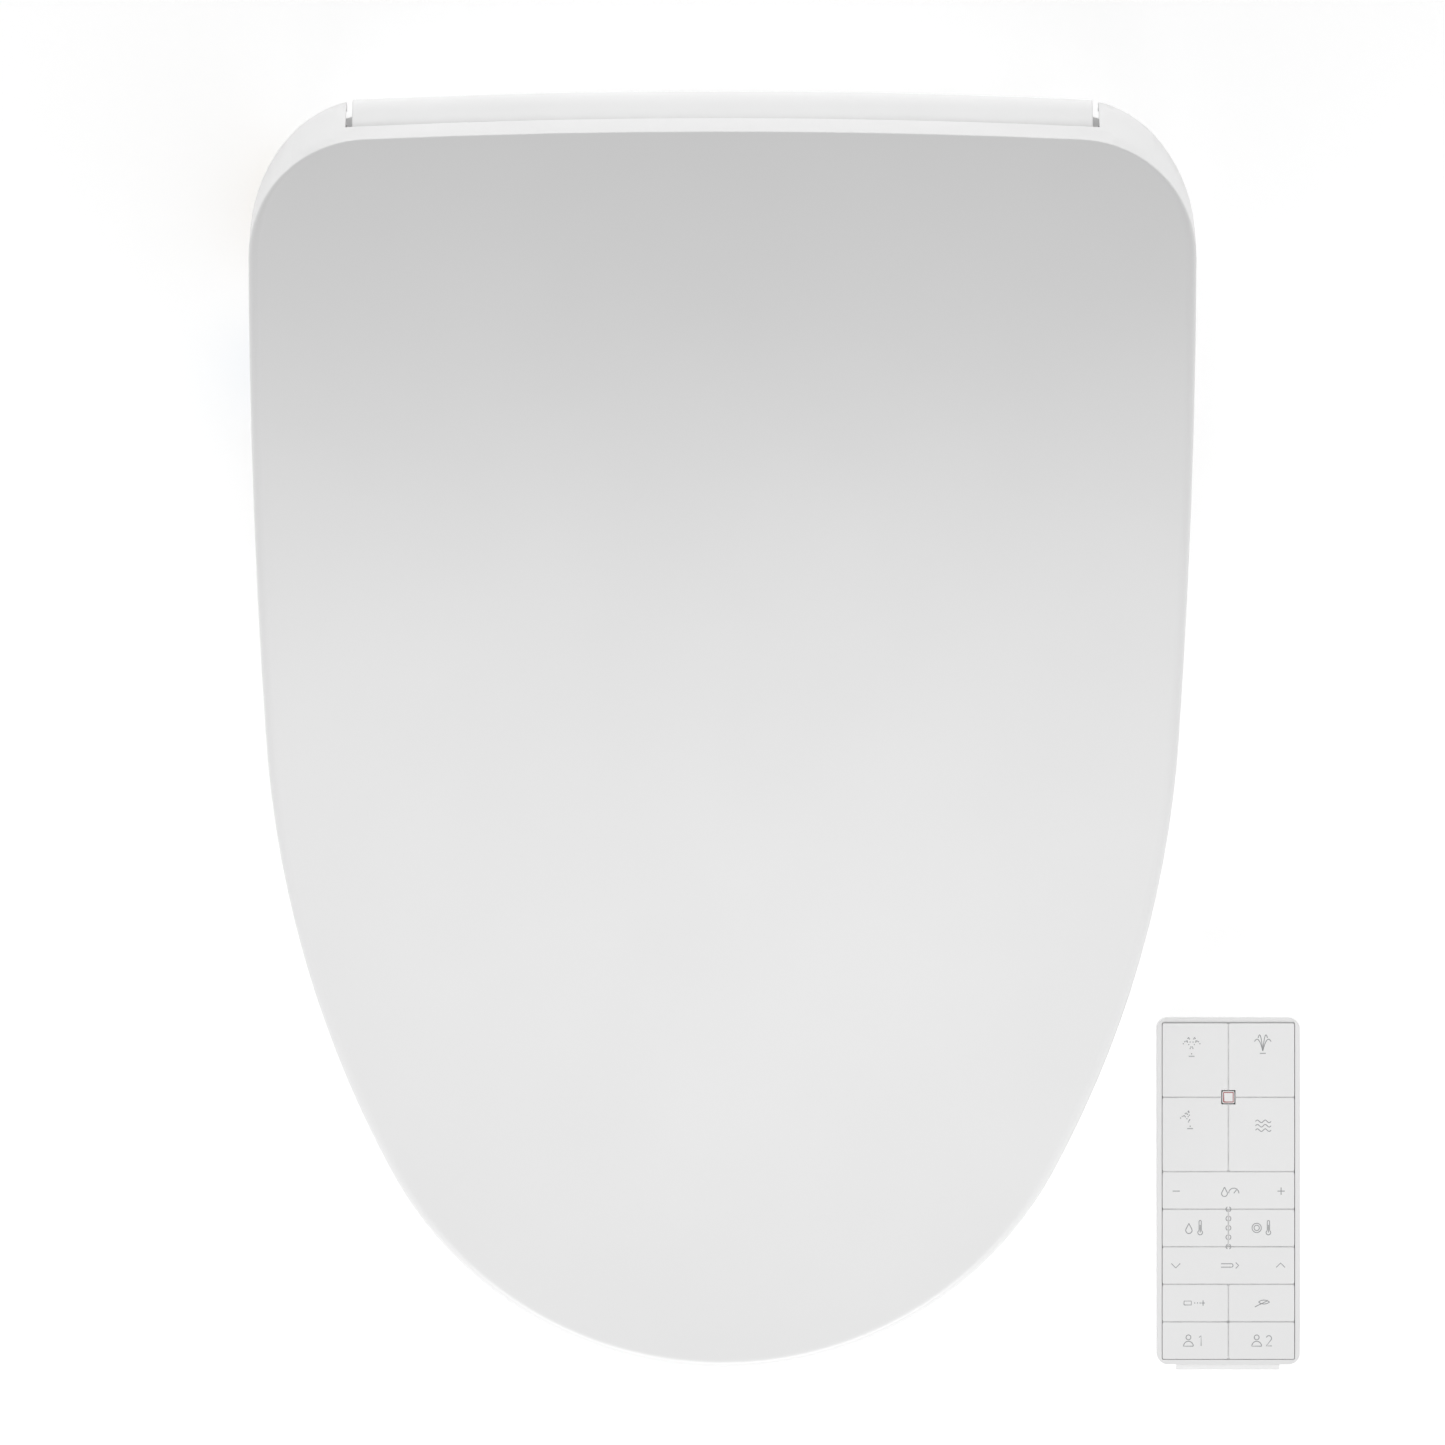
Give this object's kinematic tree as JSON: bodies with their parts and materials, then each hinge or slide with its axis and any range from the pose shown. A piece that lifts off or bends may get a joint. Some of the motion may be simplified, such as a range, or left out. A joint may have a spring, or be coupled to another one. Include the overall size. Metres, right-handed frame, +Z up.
{
  "type": "bidet toilet seat",
  "caption": "Electric bidet toilet seat with closing lid, heated ring, retracting spray nozzle, warm-air dryer and a remote control in its holder.",
  "frame": {"origin": "midway between the two bowl bolts, on the plane of the bowl's rim, under the mounting plate", "axes": "+Z up, -Y towards the front of the seat, +X to the right as seen from the front edge looking to the hinge"},
  "size_m": [0.4286, 0.5221, 0.134],
  "materials": {
    "lid_plastic": "glossy",
    "seat_plastic": "glossy",
    "case_plastic": "satin",
    "bumper_rubber": "matt",
    "remote_plastic": "satin",
    "stop_key_plastic": "satin",
    "key_plastic": "satin",
    "key_mat_rubber": "matt",
    "circuit_board": "satin",
    "battery_metal": "satin",
    "nozzle_steel": "polished",
    "nozzle_plastic": "glossy",
    "steel": "satin",
    "motor_metal": "satin",
    "heater_foil": "satin",
    "brass_fitting": "polished",
    "grey_plastic": "matt",
    "bracket_plastic": "matt",
    "dark_window": "glossy",
    "clear_hose": "satin",
    "button_plastic": "satin",
    "filter_plastic": "matt"
  },
  "bodies": {
    "bracket": {"mounting_plate": "bracket_plastic", "plate_adjusters": "bracket_plastic", "remote_holder": "remote_plastic"},
    "unit": {"base_pan": "case_plastic", "top_cover": "case_plastic", "hinge_pins": "steel", "hinge_dampers": "grey_plastic", "nozzle_guide": "grey_plastic", "nozzle_motor": "motor_metal", "water_heater": "grey_plastic", "inlet_valve": "grey_plastic", "inlet_fitting": "brass_fitting", "water_tubes": "clear_hose", "blower_housing": "grey_plastic", "blower_motor": "motor_metal", "dryer_duct": "grey_plastic", "control_board": "circuit_board", "power_board": "circuit_board", "ir_window": "dark_window", "cord_gland": "bumper_rubber", "base_pads": "bumper_rubber", "case_screws": "steel"},
    "seat": {"seat_shell": "seat_plastic", "seat_under_plate": "seat_plastic", "seat_heater": "heater_foil", "seat_bumpers": "bumper_rubber"},
    "lid": {"lid_shell": "lid_plastic", "lid_bumpers": "bumper_rubber"},
    "nozzle": {"nozzle_tube": "nozzle_steel", "nozzle_tip": "nozzle_plastic", "nozzle_shield": "nozzle_plastic", "nozzle_rack": "grey_plastic"},
    "drive_gear": {"drive_pinion": "grey_plastic"},
    "fan": {"blower_fan": "grey_plastic"},
    "dryer_door": {"dryer_flap": "grey_plastic"},
    "release": {"release_button": "button_plastic"},
    "wash": {"wash_button": "button_plastic"},
    "stop": {"stop_button": "button_plastic"},
    "filter": {"filter_cartridge": "filter_plastic"},
    "remote": {"remote_front_case": "remote_plastic", "remote_back_case": "remote_plastic", "remote_board": "circuit_board", "key_mat": "key_mat_rubber", "batteries": "battery_metal"},
    "battery_cover": {"battery_door": "remote_plastic"},
    "dry_press": {"dry_key": "key_plastic"},
    "eco_press": {"eco_key": "key_plastic"},
    "front_wash_press": {"front_wash_key": "key_plastic"},
    "nozzle_cleaning_press": {"nozzle_cleaning_key": "key_plastic"},
    "nozzle_position_press": {"nozzle_position_key": "key_plastic"},
    "pressure_press": {"pressure_key": "key_plastic"},
    "rear_wash_press": {"rear_wash_key": "key_plastic"},
    "seat_temp_press": {"seat_temp_key": "key_plastic"},
    "stop_press": {"stop_key": "stop_key_plastic"},
    "turbo_wash_press": {"turbo_wash_key": "key_plastic"},
    "user_one_press": {"user_one_key": "key_plastic"},
    "user_two_press": {"user_two_key": "key_plastic"},
    "water_temp_press": {"water_temp_key": "key_plastic"}
  },
  "joints": [
    {"name": "unit_slide", "type": "slide", "parent": "bracket", "child": "unit", "axis": [0, -1, 0], "range_m": [0, 0.05]},
    {"name": "seat_hinge", "type": "hinge", "parent": "unit", "child": "seat", "pos_m": [0, 0.019, 0.1], "axis": [-1, 0, 0], "range_deg": [0, 98]},
    {"name": "lid_hinge", "type": "hinge", "parent": "seat", "child": "lid", "pos_m": [0, 0.019, 0.1], "axis": [1, 0, 0], "range_deg": [-102, 0]},
    {"name": "nozzle_slide", "type": "slide", "parent": "unit", "child": "nozzle", "axis": [0, -0.9848, -0.1736], "range_m": [0, 0.08]},
    {"name": "pinion_spin", "type": "hinge", "parent": "unit", "child": "drive_gear", "pos_m": [0, -0.0717, 0.04493], "axis": [1, 0, 0], "range_deg": [-560, 560]},
    {"name": "fan_spin", "type": "hinge", "parent": "unit", "child": "fan", "pos_m": [0.092, -0.005, 0.03], "axis": [0, 0, 1], "continuous": true},
    {"name": "dryer_flap_hinge", "type": "hinge", "parent": "unit", "child": "dryer_door", "pos_m": [0.043, -0.0915, 0.0265], "axis": [-1, 0, 0], "range_deg": [0, 60]},
    {"name": "release_press", "type": "slide", "parent": "unit", "child": "release", "axis": [-1, 0, 0], "range_m": [0, 0.003], "stiffness_N_per_m": 600},
    {"name": "wash_press", "type": "slide", "parent": "unit", "child": "wash", "axis": [-1, 0, 0], "range_m": [0, 0.0015], "stiffness_N_per_m": 600},
    {"name": "stop_press", "type": "slide", "parent": "unit", "child": "stop", "axis": [-1, 0, 0], "range_m": [0, 0.0015], "stiffness_N_per_m": 600},
    {"name": "filter_slide", "type": "slide", "parent": "unit", "child": "filter", "axis": [-1, 0, 0], "range_m": [0, 0.055]},
    {"name": "remote_lift_off", "type": "slide", "parent": "bracket", "child": "remote", "axis": [0, 0, 1], "range_m": [0, 0.12]},
    {"name": "battery_door_slide", "type": "slide", "parent": "remote", "child": "battery_cover", "axis": [0, 1, 0], "range_m": [0, 0.06]},
    {"name": "dry_key_press", "type": "slide", "parent": "remote", "child": "dry_press", "axis": [0, 0, -1], "range_m": [0, 0.0006], "stiffness_N_per_m": 400},
    {"name": "eco_key_press", "type": "slide", "parent": "remote", "child": "eco_press", "axis": [0, 0, -1], "range_m": [0, 0.0006], "stiffness_N_per_m": 400},
    {"name": "front_wash_key_press", "type": "slide", "parent": "remote", "child": "front_wash_press", "axis": [0, 0, -1], "range_m": [0, 0.0006], "stiffness_N_per_m": 400},
    {"name": "nozzle_cleaning_key_press", "type": "slide", "parent": "remote", "child": "nozzle_cleaning_press", "axis": [0, 0, -1], "range_m": [0, 0.0006], "stiffness_N_per_m": 400},
    {"name": "nozzle_position_rock", "type": "hinge", "parent": "remote", "child": "nozzle_position_press", "pos_m": [0.2075, -0.434, 0.0205], "axis": [0, 1, 0], "range_deg": [-1.2, 1.2], "stiffness_Nm_per_rad": 0.4},
    {"name": "pressure_rock", "type": "hinge", "parent": "remote", "child": "pressure_press", "pos_m": [0.2075, -0.4032, 0.0205], "axis": [0, 1, 0], "range_deg": [-1.2, 1.2], "stiffness_Nm_per_rad": 0.4},
    {"name": "rear_wash_key_press", "type": "slide", "parent": "remote", "child": "rear_wash_press", "axis": [0, 0, -1], "range_m": [0, 0.0006], "stiffness_N_per_m": 400},
    {"name": "seat_temp_key_press", "type": "slide", "parent": "remote", "child": "seat_temp_press", "axis": [0, 0, -1], "range_m": [0, 0.0006], "stiffness_N_per_m": 400},
    {"name": "stop_key_press", "type": "slide", "parent": "remote", "child": "stop_press", "axis": [0, 0, -1], "range_m": [0, 0.0006], "stiffness_N_per_m": 400},
    {"name": "turbo_wash_key_press", "type": "slide", "parent": "remote", "child": "turbo_wash_press", "axis": [0, 0, -1], "range_m": [0, 0.0006], "stiffness_N_per_m": 400},
    {"name": "user_one_key_press", "type": "slide", "parent": "remote", "child": "user_one_press", "axis": [0, 0, -1], "range_m": [0, 0.0006], "stiffness_N_per_m": 400},
    {"name": "user_two_key_press", "type": "slide", "parent": "remote", "child": "user_two_press", "axis": [0, 0, -1], "range_m": [0, 0.0006], "stiffness_N_per_m": 400},
    {"name": "water_temp_key_press", "type": "slide", "parent": "remote", "child": "water_temp_press", "axis": [0, 0, -1], "range_m": [0, 0.0006], "stiffness_N_per_m": 400}
  ],
  "couplings": [
    {"joint": "pinion_spin", "follows": "nozzle_slide", "rad_per_m": -119.05}
  ]
}
